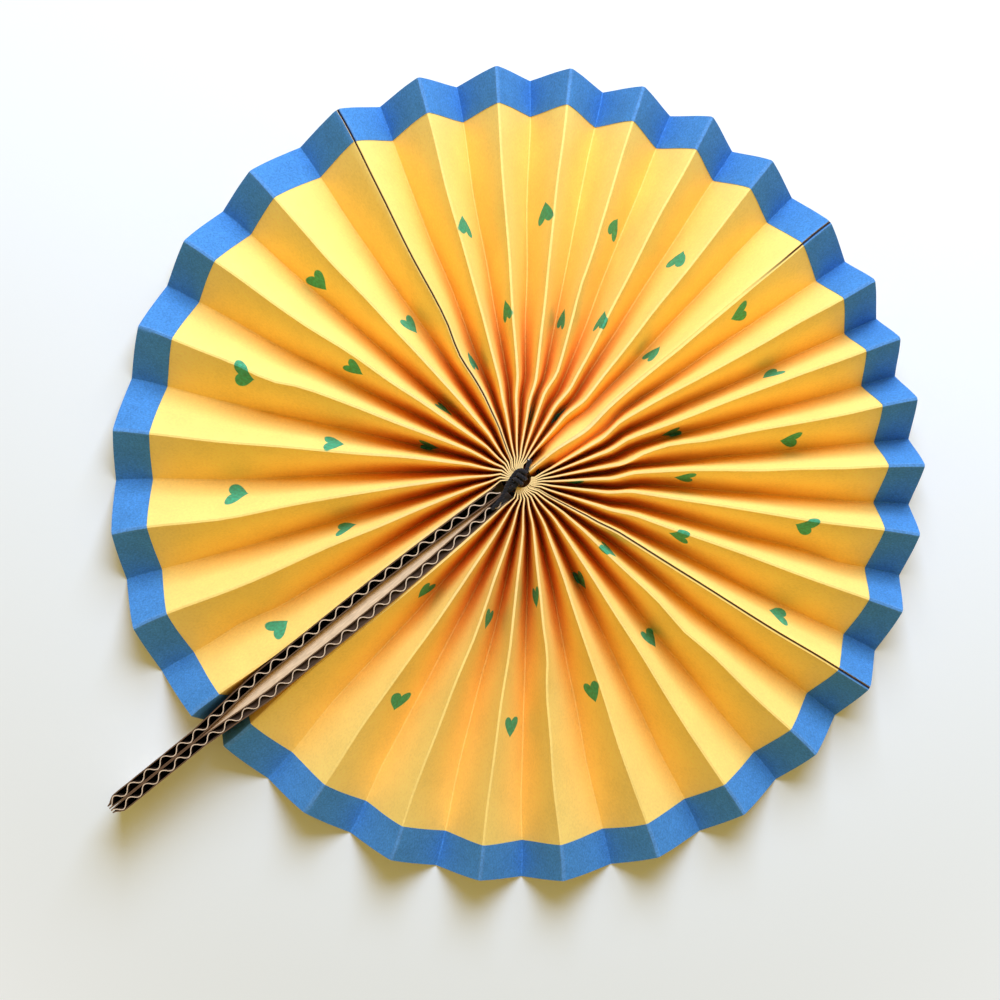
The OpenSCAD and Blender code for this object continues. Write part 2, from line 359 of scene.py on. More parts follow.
class FoldPlan:
    """Where every fold of the four sheets lies, in millimetres, by distance from the hub.
    Folds are counted from the right handle strip; even ones are ridges and odd ones valleys."""

    def __init__(self, scene):
        pleats, handle, cord = scene.paper_fan_pleats, scene.paper_fan_handle, scene.paper_fan_cord
        self.rim = pleats.fan_radius / MM
        self.width = pleats.pleat_width / MM
        self.paper = pleats.paper_thickness / MM
        self.gather = pleats.gather_radius / MM
        self.border_t = pleats.border_thickness / MM
        self.curl = pleats.panel_curl / MM
        self.board = handle.board_thickness / MM
        self.lean_out = handle.flap_lean / MM
        self.flap = handle.flap_width / MM
        angles = [a for sheet, share in zip(PLEATS, VALLEY_SHARE) for p in sheet
                  for a in (p * share, p * (1 - share))]
        self.panels = len(angles)
        self.first = [2 * sum(len(sheet) for sheet in PLEATS[:k]) for k in range(SHEETS + 1)]
        self.seams = self.first[1:SHEETS]
        self.far = self.first[FAR_SEAM]
        rooms = [pleats.hub_gap if j in (self.far - 1, self.far)
                 else SEAM_ROOM if j in self.seams or j + 1 in self.seams else 1.0
                 for j in range(self.panels)]
        self.rim_share = self.shares(angles)
        self.hub_share = self.shares(rooms)
        self.hub = HUB_PACKING * self.panels * self.paper
        self.crease = FOLD_WIDTH * self.paper
        self.lap_drop = self.paper + GLUE
        cord_d = cord.diameter / MM
        self.cord_r = self.hub + HOLE_STAND + cord_d / 2
        self.hole = (self.cord_r - HOLE_ROOM * cord_d, self.cord_r + HOLE_ROOM * cord_d)
        self.strip_end = self.hub + STRIP_STAND
        self.join = self.strip_end + FLAP_STAND
        self.border_r = self.rim - pleats.border_width / MM
        half_bow = handle.bow_gap / MM / 2
        self.bow = [(d, share * half_bow) for d, share in
                    ((self.join, BOW_SHUT), *BOW_SHAPE, (self.rim + PINCH, BOW_SHUT))]
        draw = random.Random(pleats.seed)
        self.bulge = [draw.uniform(*BULGES) for _ in range(self.panels)]
        if len(RIM_STEPS) != self.panels + 1:
            raise ValueError("RIM_STEPS needs one value for every fold")

    def count(self, k):
        """Panels of a sheet."""
        return self.first[k + 1] - self.first[k]

    @staticmethod
    def shares(weights):
        total, out = sum(weights), [0.0]
        for w in weights:
            out.append(out[-1] + w / total)
        return out

    def half_gap(self, d):
        """Half the space between the handle strips."""
        if d <= self.bow[0][0]:
            return self.bow[0][1]
        for (d0, g0), (d1, g1) in zip(self.bow, self.bow[1:]):
            if d <= d1:
                return mix(g0, g1, (d - d0) / (d1 - d0))
        return self.bow[-1][1]

    def lean(self, r):
        return self.lean_out * grow(r, LEAN_FROM, self.rim - LEAN_FROM) ** LEAN_POWER

    def end_x(self, r):
        """How far the first and the last fold stand from the middle plane of the handle."""
        stand = self.paper / 2 + AIR
        if r >= self.join - SAME:
            return self.half_gap(r) + self.board + stand + self.lean(r)
        full = self.half_gap(self.join) + self.board + stand
        return mix(END_REACH * self.hub, full, min(1, (r - self.hub) / (self.hole[1] - self.hub)))

    def end_angle(self, r):
        return math.asin(min(WIDEST_END, self.end_x(r) / r))

    def crease_at(self, j, r):
        """Width of a fold, which is pressed flat at the hub and rounder where the pleats open."""
        seam = 2 * self.lap_drop if j in self.seams else 0
        opened = grow(r, self.join, self.gather - self.join)
        return (self.crease + seam + FOLD_OPENING * self.crease * opened) * min(1, r / self.hub)

    def gather_at(self, j):
        """Where a fold stops running straight, and the part of its turn that it has made there."""
        opposite = grow(1 - abs(2 * j / self.panels - 1), *OPPOSITE_FROM)
        most = GATHER_RIGHT if j <= self.far else GATHER_LEFT
        uneven = GATHER_UNEVEN * waver(j * 1.37, 3.1, 0.4)
        reach = self.gather * (mix(GATHER_BESIDE, most, opposite) + uneven)
        return reach, mix(1.0, TURN_AT_GATHER, opposite)

    def spread(self, j, r, turn):
        """How much of its turn between hub and rim a fold has made: it runs straight from the hub
        to its gather radius, and where it bends there makes the rest of the turn in the bend."""
        reach, part = self.gather_at(j)
        if r >= reach:
            return mix(part, 1.0, grow(r, reach, BEND))
        if r <= self.hub or abs(turn) < 1e-6:
            return 0.0
        run = Vector((reach * math.cos(part * turn) - self.hub, reach * math.sin(part * turn)))
        lean = self.hub * run.x
        ahead = lean ** 2 + run.length_squared * (r ** 2 - self.hub ** 2)
        gone = (math.sqrt(ahead) - lean) / run.length_squared
        return math.atan2(gone * run.y, self.hub + gone * run.x) / turn

    def fold_s(self, j, r):
        """Arc length of a fold from the +X axis, with its kinks and a little wander."""
        start = self.end_angle(r) + self.crease_at(0, r) / 2 / r
        turn = (2 * math.pi - 2 * start) * (self.rim_share[j] - self.hub_share[j])
        share = mix(self.hub_share[j], self.rim_share[j], self.spread(j, r, turn))
        wander = 0.0
        if 0 < j < self.panels:
            wander = WANDER * waver(r / WANDER_RUN, j * 7.31, 1.7) * grow(r, *WANDER_FROM)
            wander += sum(push * math.exp(-((r - at) / reach) ** 2)
                          for fold, at, push, reach in KINKS if fold == j)
        return r * (start - math.pi / 2 + (2 * math.pi - 2 * start) * share) + wander

    def fold_z(self, j, r):
        """Height of a fold: ridges stand as high as their panels allow, valleys lie on the floor."""
        if j % 2:
            # The two wide panels at the far seam lie flatter where they open from the hub.
            raised = FAR_RISE * self.width * grow(r, *FAR_RISE_FROM) * (1 - grow(r, *FAR_RISE_ENDS))
            return self.paper / 2 + (raised if abs(j - self.far) == 1 else 0.0)
        low, high = max(j - 1, 0), min(j + 1, self.panels)
        reach = (self.fold_s(high, r) - self.fold_s(low, r)) / (high - low)
        rise = math.sqrt(max(self.width ** 2 - reach ** 2, (LEAST_RISE * self.width) ** 2))
        sway = SWAY * waver(r / SWAY_RUN, j * 3.9, 5.2) * grow(r, *SWAY_FROM)
        return self.paper / 2 + rise + sway

    def left(self, j, r):
        return Vector((self.fold_s(j, r) - self.crease_at(j, r) / 2, self.fold_z(j, r)))

    def right(self, j, r):
        return Vector((self.fold_s(j, r) + self.crease_at(j, r) / 2, self.fold_z(j, r)))

    def panel_point(self, j, f, r):
        """A point across a panel, bowed the way creased paper bows between two folds."""
        a, b = self.right(j, r), self.left(j + 1, r)
        run = b - a
        out = Vector((-run.y, run.x)).normalized()
        hollow = self.curl * math.sin(2 * math.pi * f) * (1 if j % 2 == 0 else -1)
        bulge = self.bulge[j] + BULGE_CHANGE * waver(r / BULGE_RUN, j * 5.7, 9.1)
        swell = self.curl * bulge * 4 * f * (1 - f)
        lift = 0.0
        if j in self.seams and r > self.join:
            # The glued edge of a sheet stands up a little.
            lift = LIFT * max(0.0, 1 - f / PANEL_STOPS[2]) ** 2 * grow(r, *LIFT_FROM)
        return a + run * f + out * ((hollow + swell) * grow(r, *CURL_FROM) + lift)

    def lap_point(self, j, f, r):
        """A point on the tongue of paper glued under the next sheet."""
        outer = self.left(j + 1, self.border_r) - self.right(j, self.border_r)
        drop = self.lap_drop * outer.length / max(0.1, -outer.y)
        a = self.right(j, r) - Vector((min(2 * self.lap_drop, drop), 0))
        if f == 0:
            return a
        return a + (self.panel_point(j, f, r) - self.right(j, r))

    def flap_point(self, j, f, r, side):
        """A point on the end flap that leans from its fold to the face of the handle strip."""
        at_border = self.border_t + GLUE if r > self.border_r - SAME else 0
        run = max(0.0, self.lean(r) - at_border)
        if side < 0:
            # The right strip leans over to the left one behind its front edge.
            run += 2 * self.half_gap(r)
        top = self.left(j, r) if side < 0 else self.right(j, r)
        drop = min(top.y - self.paper, math.sqrt(self.flap ** 2 - run ** 2))
        return top + Vector((side * run, -drop)) * f

    def columns(self, k):
        """Columns of a sheet's mesh as (kind, fold, share, place along the sheet in panels)."""
        j0, j1 = self.first[k], self.first[k + 1]
        flap = self.flap / self.width
        cols = []
        if k == 0:
            cols += [("flap", j0, f, -f * flap) for f in (1, 0.5)]
            cols.append(("left", j0, 0, -FLAT_FOLD))
        for j in range(j0, j1):
            cols.append(("right", j, 0, j - j0 + FLAT_FOLD))
            cols += [("panel", j, f, j - j0 + f) for f in PANEL_STOPS]
            cols.append(("left", j + 1, 0, j + 1 - j0 - FLAT_FOLD))
        if k == SHEETS - 1:
            cols.append(("right", j1, 0, j1 - j0 + FLAT_FOLD))
            cols += [("flap", j1, f, j1 - j0 + f * flap) for f in (0.5, 1)]
        else:
            cols += [("lap", j1, f, j1 - j0 + FLAT_FOLD + f) for f in (0, *PANEL_STOPS[1:HOLE_STOP + 2])]
        return cols

    def section(self, k, r, cols):
        """One sheet's cross-section at a distance from the hub, as arc length and height."""
        out = []
        for kind, j, f, _ in cols:
            if kind == "left":
                out.append(self.left(j, r))
            elif kind == "right":
                out.append(self.right(j, r))
            elif kind == "panel":
                out.append(self.panel_point(j, f, r))
            elif kind == "lap":
                out.append(self.lap_point(j, f, r))
            else:
                out.append(self.flap_point(j, f, r, -1 if k == 0 else 1))
        return out

    def rim_shift(self, k, place, r):
        """How far the cut rim wanders in and out, since no two folds were made alike."""
        at = min(max(place + self.first[k], 0), self.panels)
        j = min(int(at), self.panels - 1)
        return mix(RIM_STEPS[j], RIM_STEPS[j + 1], at - j) * grow(r, *RIM_STEPS_FROM)


def moved_out(points, distance):
    """Moves a section sideways by a distance, with mitred corners."""
    out = []
    last = len(points) - 1
    for i, p in enumerate(points):
        back = points[max(1, i)] - points[max(1, i) - 1]
        ahead = points[min(last, i + 1)] - points[min(last, i + 1) - 1]
        a = Vector((-back.y, back.x)).normalized()
        b = Vector((-ahead.y, ahead.x)).normalized()
        m = (a + b).normalized()
        out.append(p + m * distance / max(MITRE, m.dot(a)))
    return out


def rolled(point, r, shift):
    """Places a section point of arc length and height on its cylinder about the hub, in metres."""
    a = point.x / r
    return Vector(((r + shift) * math.cos(a), (r + shift) * math.sin(a), point.y)) * MM


def deselect_all():
    if bpy.context.object and bpy.context.object.mode != "OBJECT":
        bpy.ops.object.mode_set(mode="OBJECT")
    bpy.ops.object.select_all(action="DESELECT")


def new_grid(name, columns, rows):
    """Adds a flat sheet of paper or board with a point for every column and row."""
    deselect_all()
    bpy.ops.mesh.primitive_grid_add(x_subdivisions=columns - 1, y_subdivisions=rows - 1, size=1)
    piece = bpy.context.object
    piece.name = piece.data.name = name
    if len(piece.data.vertices) != columns * rows:
        raise RuntimeError(name + ": the grid does not have a point for every fold")
    cells = [(round((v.co.x + 0.5) * (columns - 1)), round((v.co.y + 0.5) * (rows - 1)))
             for v in piece.data.vertices]
    return piece, cells


def fold_paper(name, plan, k, cols, rings, raised=0.0, ragged=0.0):
    """Folds a flat sheet into the pleats of sheet k, raised off its middle and with a ragged inner
    edge, and writes each point's place on the flat sheet to a UV map that patterns follow."""
    piece, cells = new_grid(name, len(cols), len(rings))
    sections = [moved_out(plan.section(k, r, cols), raised) for r in rings]
    for v, (c, i) in zip(piece.data.vertices, cells):
        place = cols[c][3]
        shift = plan.rim_shift(k, place, rings[i])
        if i == 0:
            shift += ragged * waver(place * 0.9, k * 4.1, 0.6)
        v.co = rolled(sections[i][c], rings[i], shift)
    layer = piece.data.uv_layers[0]
    layer.name = "paper"
    panels = plan.count(k)
    for loop in piece.data.loops:
        c, i = cells[loop.vertex_index]
        layer.data[loop.index].uv = ((cols[c][3] + 1) / (panels + 2), rings[i] / plan.rim)
    return piece, cells


def turn_over():
    """Turns the front of the active sheet to its other side, and leaves nothing selected on it."""
    bpy.ops.object.mode_set(mode="EDIT")
    bpy.ops.mesh.select_mode(type="FACE")
    bpy.ops.mesh.select_all(action="SELECT")
    bpy.ops.mesh.flip_normals()
    bpy.ops.mesh.select_all(action="DESELECT")
    bpy.ops.object.mode_set(mode="OBJECT")


def cut_away(piece, cells, is_gone):
    """Deletes the cells of a turned grid for which is_gone(column, row) holds."""
    for face in piece.data.polygons:
        corner = [cells[i] for i in face.vertices]
        face.select = is_gone(min(c[0] for c in corner), min(c[1] for c in corner))
    bpy.ops.object.mode_set(mode="EDIT")
    bpy.ops.mesh.delete(type="FACE")
    bpy.ops.object.mode_set(mode="OBJECT")


def thicken(piece, thickness, back_slot=0, edge_slot=0):
    """Gives a sheet its real thickness, with materials of their own on the back and the cut edge."""
    bpy.ops.object.modifier_add(type="SOLIDIFY")
    solid = piece.modifiers[-1]
    solid.thickness = thickness
    solid.offset = 0.0
    solid.use_even_offset = True
    solid.thickness_clamp = 0.0
    solid.material_offset = back_slot
    solid.material_offset_rim = edge_slot
    bpy.ops.object.modifier_apply(modifier=solid.name)


def join_pieces(pieces, first, name):
    """Joins pieces into one, which keeps the first one's order of materials."""
    deselect_all()
    for piece in pieces:
        piece.select_set(True)
    bpy.context.view_layer.objects.active = first
    bpy.ops.object.join()
    joined = bpy.context.object
    joined.name = joined.data.name = name
    return joined


def finish_piece(piece, slot, *nodes):
    bpy.ops.object.shade_smooth_by_angle(angle=math.radians(SHARP_EDGE))
    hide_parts(*nodes)
    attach(piece, BODY)


def put(tree, kind, inputs=None, **settings):
    """Adds a node with its settings, and links or sets its inputs. A node given as an input stands
    for its first output."""
    node = tree.nodes.new(kind)
    for name, value in settings.items():
        setattr(node, name, value)
    for key, value in (inputs or {}).items():
        if isinstance(value, bpy.types.Node):
            value = value.outputs[0]
        if isinstance(value, bpy.types.NodeSocket):
            tree.links.new(value, node.inputs[key])
        else:
            node.inputs[key].default_value = value
    return node


def blank_material(name):
    """A material with an empty node tree, and the coordinates that its patterns lie on."""
    material = bpy.data.materials.new(name)
    material.use_nodes = True
    tree = material.node_tree
    tree.nodes.clear()
    return material, tree, put(tree, "ShaderNodeTexCoord").outputs["Object"]


def rgba(values):
    return (*values, 1.0)


def coat(tree, under, tint, *shares):
    """Lays a colour over another one, as much as the product of its shares."""
    cover = shares[0]
    for share in shares[1:]:
        cover = put(tree, "ShaderNodeMath", {0: cover, 1: share}, operation="MULTIPLY")
    return put(tree, "ShaderNodeMix", {"Factor": cover, "A": under, "B": tint},
               data_type="RGBA").outputs["Result"]


def mottle(tree, tint, spot, clump, low, high, detail):
    """Makes a colour uneven by clumps of a size in mm, and hands on the clumps for the relief."""
    clumps = put(tree, "ShaderNodeTexNoise", {"Vector": spot, "Scale": 1 / (clump * MM), "Detail": detail})
    level = put(tree, "ShaderNodeMapRange", {"Value": clumps, "From Min": 0.3, "From Max": 0.7,
                                             "To Min": low, "To Max": high})
    shade = put(tree, "ShaderNodeMix", {"Factor": 1.0, "A": tint, "B": level},
                data_type="RGBA", blend_type="MULTIPLY")
    return shade.outputs["Result"], clumps


def close_material(tree, tint, clumps, relief, depth, sockets):
    """Ends a material whose clumps of fibre stand out by a depth in mm."""
    tooth = put(tree, "ShaderNodeBump", {"Height": clumps, "Strength": relief, "Distance": depth * MM})
    shader = put(tree, "ShaderNodeBsdfPrincipled", {"Base Color": tint, "Normal": tooth, **sockets})
    put(tree, "ShaderNodeOutputMaterial", {"Surface": shader})


def heart_group():
    """A heart outline about a centre in millimetres on the flat paper: 1 inside and 0 outside."""
    group = bpy.data.node_groups.get("drawn_heart")
    if group:
        return group
    group = bpy.data.node_groups.new("drawn_heart", "ShaderNodeTree")
    for name, way, kind in (("Place", "INPUT", "Vector"), ("Centre", "INPUT", "Vector"),
                            ("Turn", "INPUT", "Float"), ("Size", "INPUT", "Vector"),
                            ("Inside", "OUTPUT", "Float")):
        group.interface.new_socket(name, in_out=way, socket_type="NodeSocket" + kind)
    ask = put(group, "NodeGroupInput").outputs
    away = put(group, "ShaderNodeVectorMath", {0: ask["Place"], 1: ask["Centre"]}, operation="SUBTRACT")
    turned = put(group, "ShaderNodeVectorRotate", {"Vector": away, "Angle": ask["Turn"]},
                 rotation_type="Z_AXIS")
    unit = put(group, "ShaderNodeVectorMath", {0: turned, 1: ask["Size"]}, operation="DIVIDE")
    xyz = put(group, "ShaderNodeSeparateXYZ", {0: unit}).outputs
    half = put(group, "ShaderNodeMath", {0: xyz["X"]}, operation="ABSOLUTE")
    # A circle, of which each half is pushed up by its distance from the middle.
    lobe = put(group, "ShaderNodeMath", {0: half, 1: 0.7}, operation="POWER")
    tall = put(group, "ShaderNodeMath", {0: xyz["Y"], 1: 1.25}, operation="MULTIPLY")
    bend = put(group, "ShaderNodeMath", {0: tall, 1: lobe}, operation="SUBTRACT")
    flat = put(group, "ShaderNodeCombineXYZ", {"X": half, "Y": bend})
    field = put(group, "ShaderNodeVectorMath", {0: flat}, operation="LENGTH").outputs["Value"]
    inside = put(group, "ShaderNodeMapRange", {"Value": field, "From Min": 1.05, "From Max": 0.95},
                 **SMOOTHED)
    put(group, "NodeGroupOutput", {"Inside": inside})
    return group


def paper_places(tree, plan, panels):
    """Sockets for a point's place on the flat paper: the count of panels along the sheet, how near
    it is to a valley, from 0 on a ridge to 1, and the distance from the hub in mm."""
    uv = put(tree, "ShaderNodeUVMap", uv_map="paper")
    xyz = put(tree, "ShaderNodeSeparateXYZ", {0: uv}).outputs
    panel = put(tree, "ShaderNodeMath", {0: xyz["X"], 1: panels + 2.0, 2: -1.0}, operation="MULTIPLY_ADD")
    fold = put(tree, "ShaderNodeMath", {0: panel, 1: 1.0}, operation="PINGPONG")
    radius = put(tree, "ShaderNodeMath", {0: xyz["Y"], 1: plan.rim}, operation="MULTIPLY")
    return panel, fold, radius


def paint_seam_shadow(tree, under, tint, k, panels, panel, radius):
    """Paints a shadow line along the glued edge where a sheet goes under the next; at the far seam
    only close to the rim."""
    if k == SHEETS - 1:
        return under
    start, full = FAR_SEAM_FROM if k + 1 == FAR_SEAM else SEAM_FROM
    mark = put(tree, "ShaderNodeMapRange", {"Value": panel, "From Min": panels - SEAM_HALF,
                                            "From Max": panels + SEAM_HALF})
    reach = put(tree, "ShaderNodeMapRange", {"Value": radius, "From Min": start, "From Max": full})
    return coat(tree, under, rgba(tint), mark, reach)


def drawn_hearts(tree, under, plan, pleats, k, panel, radius):
    """Draws the hearts of a sheet with a felt pen, which wanders by some tenths of a millimetre
    and leaves darker strokes."""
    along = put(tree, "ShaderNodeMath", {0: panel, 1: plan.width}, operation="MULTIPLY")
    place = put(tree, "ShaderNodeCombineXYZ", {"X": along, "Y": radius})
    shake = put(tree, "ShaderNodeTexNoise", {"Vector": place, "Scale": 0.3, "Detail": 1.0})
    wander = put(tree, "ShaderNodeVectorMath", {0: shake.outputs["Color"], 1: (0.5, 0.5, 0.5)},
                 operation="SUBTRACT")
    bent = put(tree, "ShaderNodeVectorMath", {0: wander, 1: (0.6, 0.35, 0.0), 2: place},
               operation="MULTIPLY_ADD")
    half_size = (pleats.heart_width / MM / 2, pleats.heart_height / MM / 2, 1)
    mark = None
    for at, distance, lean in HEARTS[k]:
        heart = put(tree, "ShaderNodeGroup", {"Place": bent, "Centre": (at * plan.width, distance, 0.0),
                                              "Turn": math.radians(TIP_TURN[k] + lean),
                                              "Size": half_size}, node_tree=heart_group())
        mark = heart if mark is None else put(tree, "ShaderNodeMath", {0: mark, 1: heart},
                                              operation="MAXIMUM")
    stroke = put(tree, "ShaderNodeTexNoise", {"Vector": place, "Scale": 1.1, "Detail": 2.0})
    dark = put(tree, "ShaderNodeMapRange", {"Value": stroke, "From Min": 0.35,
                                            "From Max": 0.65, "To Min": 0.7, "To Max": 1.15})
    ink = put(tree, "ShaderNodeMix", {"Factor": 1.0, "A": rgba(pleats.ink), "B": dark},
              data_type="RGBA", blend_type="MULTIPLY")
    return coat(tree, under, ink.outputs["Result"], mark, 0.94)


def yellow_paper(plan, pleats, k, drawn):
    """Dyed coloured paper, calendered: matte, with fibre mottling, painted highlights along the ridges and
    painted shade low in the pleats.
    Drawn is true for the front, which carries the felt-pen hearts."""
    panels = plan.count(k)
    side = "drawn" if drawn else "plain"
    material, tree, spot = blank_material(f"dyed_yellow_paper_{side}_{k + 1}")
    panel, fold, radius = paper_places(tree, plan, panels)
    # Painted shade: the paper is darkened to deep orange low in the pleats and towards the hub, where
    # light reaches least.
    crowd = put(tree, "ShaderNodeMapRange", {"Value": radius, "From Min": 10.0, "From Max": 54.0,
                                             "To Min": 1.0, "To Max": 0.12}, **SMOOTHED)
    low = put(tree, "ShaderNodeMapRange", {"Value": fold, "From Min": 0.06, "From Max": 0.85}, **SMOOTHED)
    deep = [crowd, low]
    if k in (FAR_SEAM - 1, FAR_SEAM):
        # The wide panels at the far seam lie open to the light, so they get less of the painted shade.
        seam = panels if k < FAR_SEAM else 0
        beside = put(tree, "ShaderNodeMath", {0: panel, 1: float(seam), 2: 1.0}, operation="COMPARE")
        deep.append(put(tree, "ShaderNodeMapRange", {"Value": beside, "To Min": 1.0,
                                                     "To Max": 0.4}))
    tint = coat(tree, rgba(pleats.paper), rgba(pleats.paper_painted_shade), *deep)
    # Painted highlight: a ridge is painted pale over about half a millimetre, most where the folds crowd.
    ridge_highlight_reach = put(tree, "ShaderNodeMapRange", {"Value": radius, "From Min": 12.0, "From Max": 55.0,
                                           "To Min": 0.8, "To Max": 0.06}, **SMOOTHED)
    edge = put(tree, "ShaderNodeMapRange", {"Value": fold, "From Min": 0.012, "From Max": 0.05,
                                            "To Min": 1.0, "To Max": 0.0}, **SMOOTHED)
    tint = coat(tree, tint, rgba(pleats.paper_ridge_highlight), edge, ridge_highlight_reach)
    # Painted shade: the bottom of a valley fold is darkened, most where the folds crowd.
    line = put(tree, "ShaderNodeMapRange", {"Value": fold, "From Min": 0.96, "From Max": 0.99,
                                            "To Min": 0.0, "To Max": 0.5}, **SMOOTHED)
    tint = coat(tree, tint, rgba(pleats.crease), line, crowd)
    # Uneven dye over about 9 mm, and fibre clumps of about 0.7 mm, drawn coarser than single fibres
    # so that they show.
    tint, _ = mottle(tree, tint, spot, 9, 0.96, 1.03, 2.0)
    tint, fibre = mottle(tree, tint, spot, 0.7, 0.94, 1.05, 4.0)
    if drawn:
        # Painted shadow along the glued seam.
        tint = paint_seam_shadow(tree, tint, pleats.seam_shadow, k, panels, panel, radius)
        tint = drawn_hearts(tree, tint, plan, pleats, k, panel, radius)
    close_material(tree, tint, fibre, 0.12, 0.05, {"Roughness": 0.8, "Specular IOR Level": 0.2})
    return material


def blue_paper(plan, pleats, k):
    """Dyed craft paper with a rougher face: speckled fibres, and ridges painted with a pale highlight
    line.
    """
    panels = plan.count(k)
    material, tree, spot = blank_material(f"dyed_blue_paper_{k + 1}")
    panel, fold, radius = paper_places(tree, plan, panels)
    # Painted highlight: a faint pale line along each ridge.
    edge = put(tree, "ShaderNodeMapRange", {"Value": fold, "From Min": 0.015, "From Max": 0.045,
                                            "To Min": 0.1, "To Max": 0.0}, **SMOOTHED)
    tint = coat(tree, rgba(pleats.border), rgba(pleats.border_ridge_highlight), edge)
    # Cloudiness over about 4 mm, and fibre clumps of about half a millimetre.
    tint, _ = mottle(tree, tint, spot, 4, 0.95, 1.05, 2.0)
    tint, fibre = mottle(tree, tint, spot, 0.5, 0.76, 1.2, 4.0)
    # Painted shadow along the seam between two border strips.
    tint = paint_seam_shadow(tree, tint, pleats.slit, k, panels, panel, radius)
    close_material(tree, tint, fibre, 0.18, 0.06, {"Roughness": 0.82, "Specular IOR Level": 0.25})
    return material


def kraft_paper(name, colour_value):
    """Unbleached kraft, not glazed: dull brown with streaky fibres."""
    material, tree, spot = blank_material(name)
    # Fibres lie along the web: streaks about 0.45 mm across and 3 mm long, drawn coarser to show.
    lay = put(tree, "ShaderNodeMapping", {"Vector": spot, "Scale": (1.0, 0.16, 1.0)})
    tint, fibre = mottle(tree, rgba(colour_value), lay, 0.45, 0.8, 1.12, 4.0)
    close_material(tree, tint, fibre, 0.3, 0.08, {"Roughness": 0.88, "Specular IOR Level": 0.2})
    return material


def cotton_cord(name, colour_value):
    """Laid cotton cord: dull, with a soft nap that catches side light; the dye leaves its core pale."""
    material, tree, spot = blank_material(name)
    # Yarn fibres about 0.15 mm apart, drawn as coarse as the picture can show.
    tint, fibre = mottle(tree, rgba(colour_value), spot, 0.25, 0.6, 1.5, 3.0)
    close_material(tree, tint, fibre, 0.4, 0.08, {"Roughness": 0.9, "Specular IOR Level": 0.2,
                                                  "Sheen Weight": 0.15, "Sheen Roughness": 0.5})
    return material


class PAPERFAN_OT_sheets(bpy.types.Operator):
    """Fold the four yellow sheets from flat paper"""
    bl_idname = "paperfan.sheets"
    bl_label = "Pleated sheets"

    def execute(self, context):
        scene = context.scene
        plan, pleats = FoldPlan(scene), scene.paper_fan_pleats
        rings = [PAPER_REACH * plan.hub, plan.hub, *plan.hole, plan.join, *RINGS,
                 plan.border_r, *BORDER_RINGS, plan.rim]
        join_row = rings.index(plan.join)
        for k in range(SHEETS):
            cols = plan.columns(k)
            piece, cells = fold_paper(f"folded_sheet_{k + 1}", plan, k, cols, rings)

            def is_gone(c, i):
                kinds = (cols[c][0], cols[c + 1][0])
                if "flap" in kinds or kinds == ("lap", "lap"):
                    return i < join_row
                hole = cols[c][0] == "panel" and cols[c][2] == PANEL_STOPS[HOLE_STOP]
                return hole and rings[i] == plan.hole[0]

            turn_over()
            cut_away(piece, cells, is_gone)
            piece.data.materials.append(yellow_paper(plan, pleats, k, True))
            piece.data.materials.append(yellow_paper(plan, pleats, k, False))
            thicken(piece, pleats.paper_thickness, back_slot=1, edge_slot=1)
            finish_piece(piece, "yellow_paper", f"pleated_sheet_{k + 1}")
        return {"FINISHED"}


class PAPERFAN_OT_borders(bpy.types.Operator):
    """Glue the blue strips along the rim of the sheets"""
    bl_idname = "paperfan.borders"
    bl_label = "Rim borders"

    def execute(self, context):
        scene = context.scene
        plan, pleats = FoldPlan(scene), scene.paper_fan_pleats
        rings = [plan.border_r, *BORDER_RINGS, plan.rim]
        raised = (plan.paper + plan.border_t) / 2 + BORDER_GLUE
        for k in range(SHEETS):
            cols = [c for c in plan.columns(k) if c[0] != "lap" or c[2] == 0]
            # The strip was cut with scissors, so its inner edge wanders by a quarter of a millimetre.
            piece, _ = fold_paper(f"rim_strip_{k + 1}", plan, k, cols, rings, raised, ragged=0.25)
            turn_over()
            piece.data.materials.append(blue_paper(plan, pleats, k))
            thicken(piece, pleats.border_thickness)
            finish_piece(piece, "blue_paper", f"border_strip_{k + 1}")
        return {"FINISHED"}


